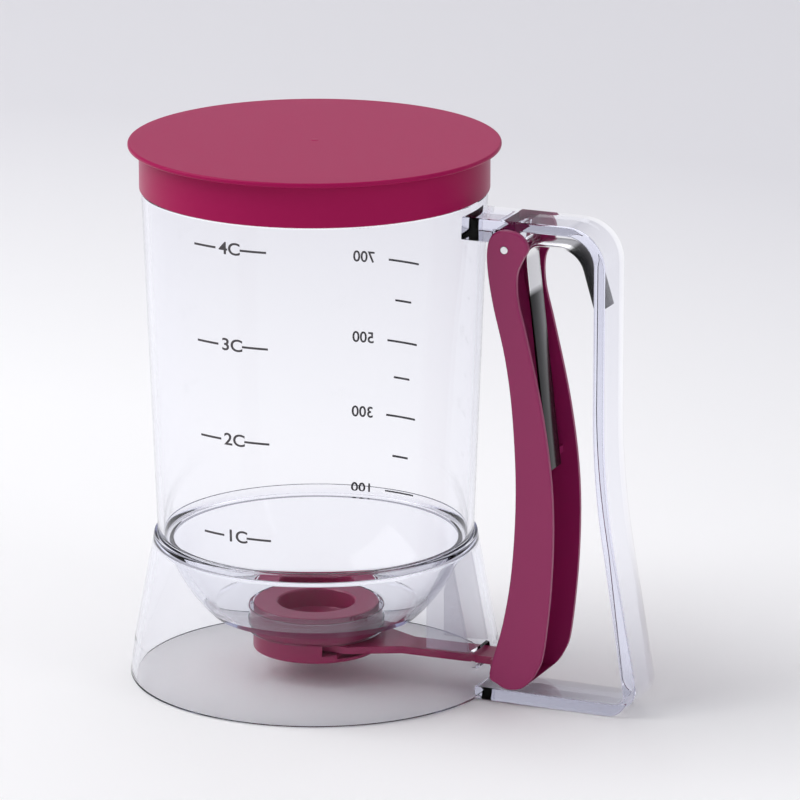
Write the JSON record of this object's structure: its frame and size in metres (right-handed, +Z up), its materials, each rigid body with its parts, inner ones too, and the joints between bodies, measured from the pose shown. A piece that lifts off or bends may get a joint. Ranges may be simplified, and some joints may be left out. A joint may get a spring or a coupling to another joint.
{
  "type": "pancake batter dispenser",
  "caption": "Clear jug on a flared skirt, with a push-on lid, a sliding gate under its funnel bowl and a squeeze trigger inside a loop handle.",
  "frame": {"origin": "on the jug's axis at the foot rim's resting plane", "axes": "+Z up along the jug's axis, +X towards the handle; the XZ plane is the mirror plane"},
  "size_m": [0.1676, 0.1156, 0.1688],
  "materials": {
    "lid_magenta": "glossy moulded plastic, satin on top",
    "clear_plastic": "clear moulded plastic, faint violet where thick",
    "valve_magenta": "glossy moulded plastic",
    "trigger_magenta": "satin moulded plastic",
    "pin_steel": "polished",
    "spring_steel": "polished strip"
  },
  "bodies": {
    "root": {"measuring_jug": "clear_plastic", "funnel_bowl": "clear_plastic", "base_skirt": "clear_plastic", "handle_frame": "clear_plastic", "valve_seat": "valve_magenta", "valve_housing": "valve_magenta", "pivot_pin": "pin_steel", "return_spring": "spring_steel"},
    "lid": {"lid": "lid_magenta"},
    "trigger": {"trigger": "trigger_magenta"},
    "gate": {"slide_gate": "valve_magenta"}
  },
  "joints": [
    {"name": "lid_lift", "type": "slide", "parent": "root", "child": "lid", "axis": [0, 0, 1], "range_m": [0, 0.06]},
    {"name": "trigger_squeeze", "type": "hinge", "parent": "root", "child": "trigger", "pos_m": [0.0673, 0, 0.1437], "axis": [0, -1, 0], "range_deg": [0, 8.5], "stiffness_Nm_per_rad": 1.5, "springref_deg": -8.59, "deforming": ["return_spring"]},
    {"name": "gate_slide", "type": "slide", "parent": "root", "child": "gate", "axis": [1, 0, 0], "range_m": [0, 0.0197]}
  ],
  "couplings": [
    {"joint": "gate_slide", "follows": "trigger_squeeze", "m_per_rad": 0.1319}
  ]
}
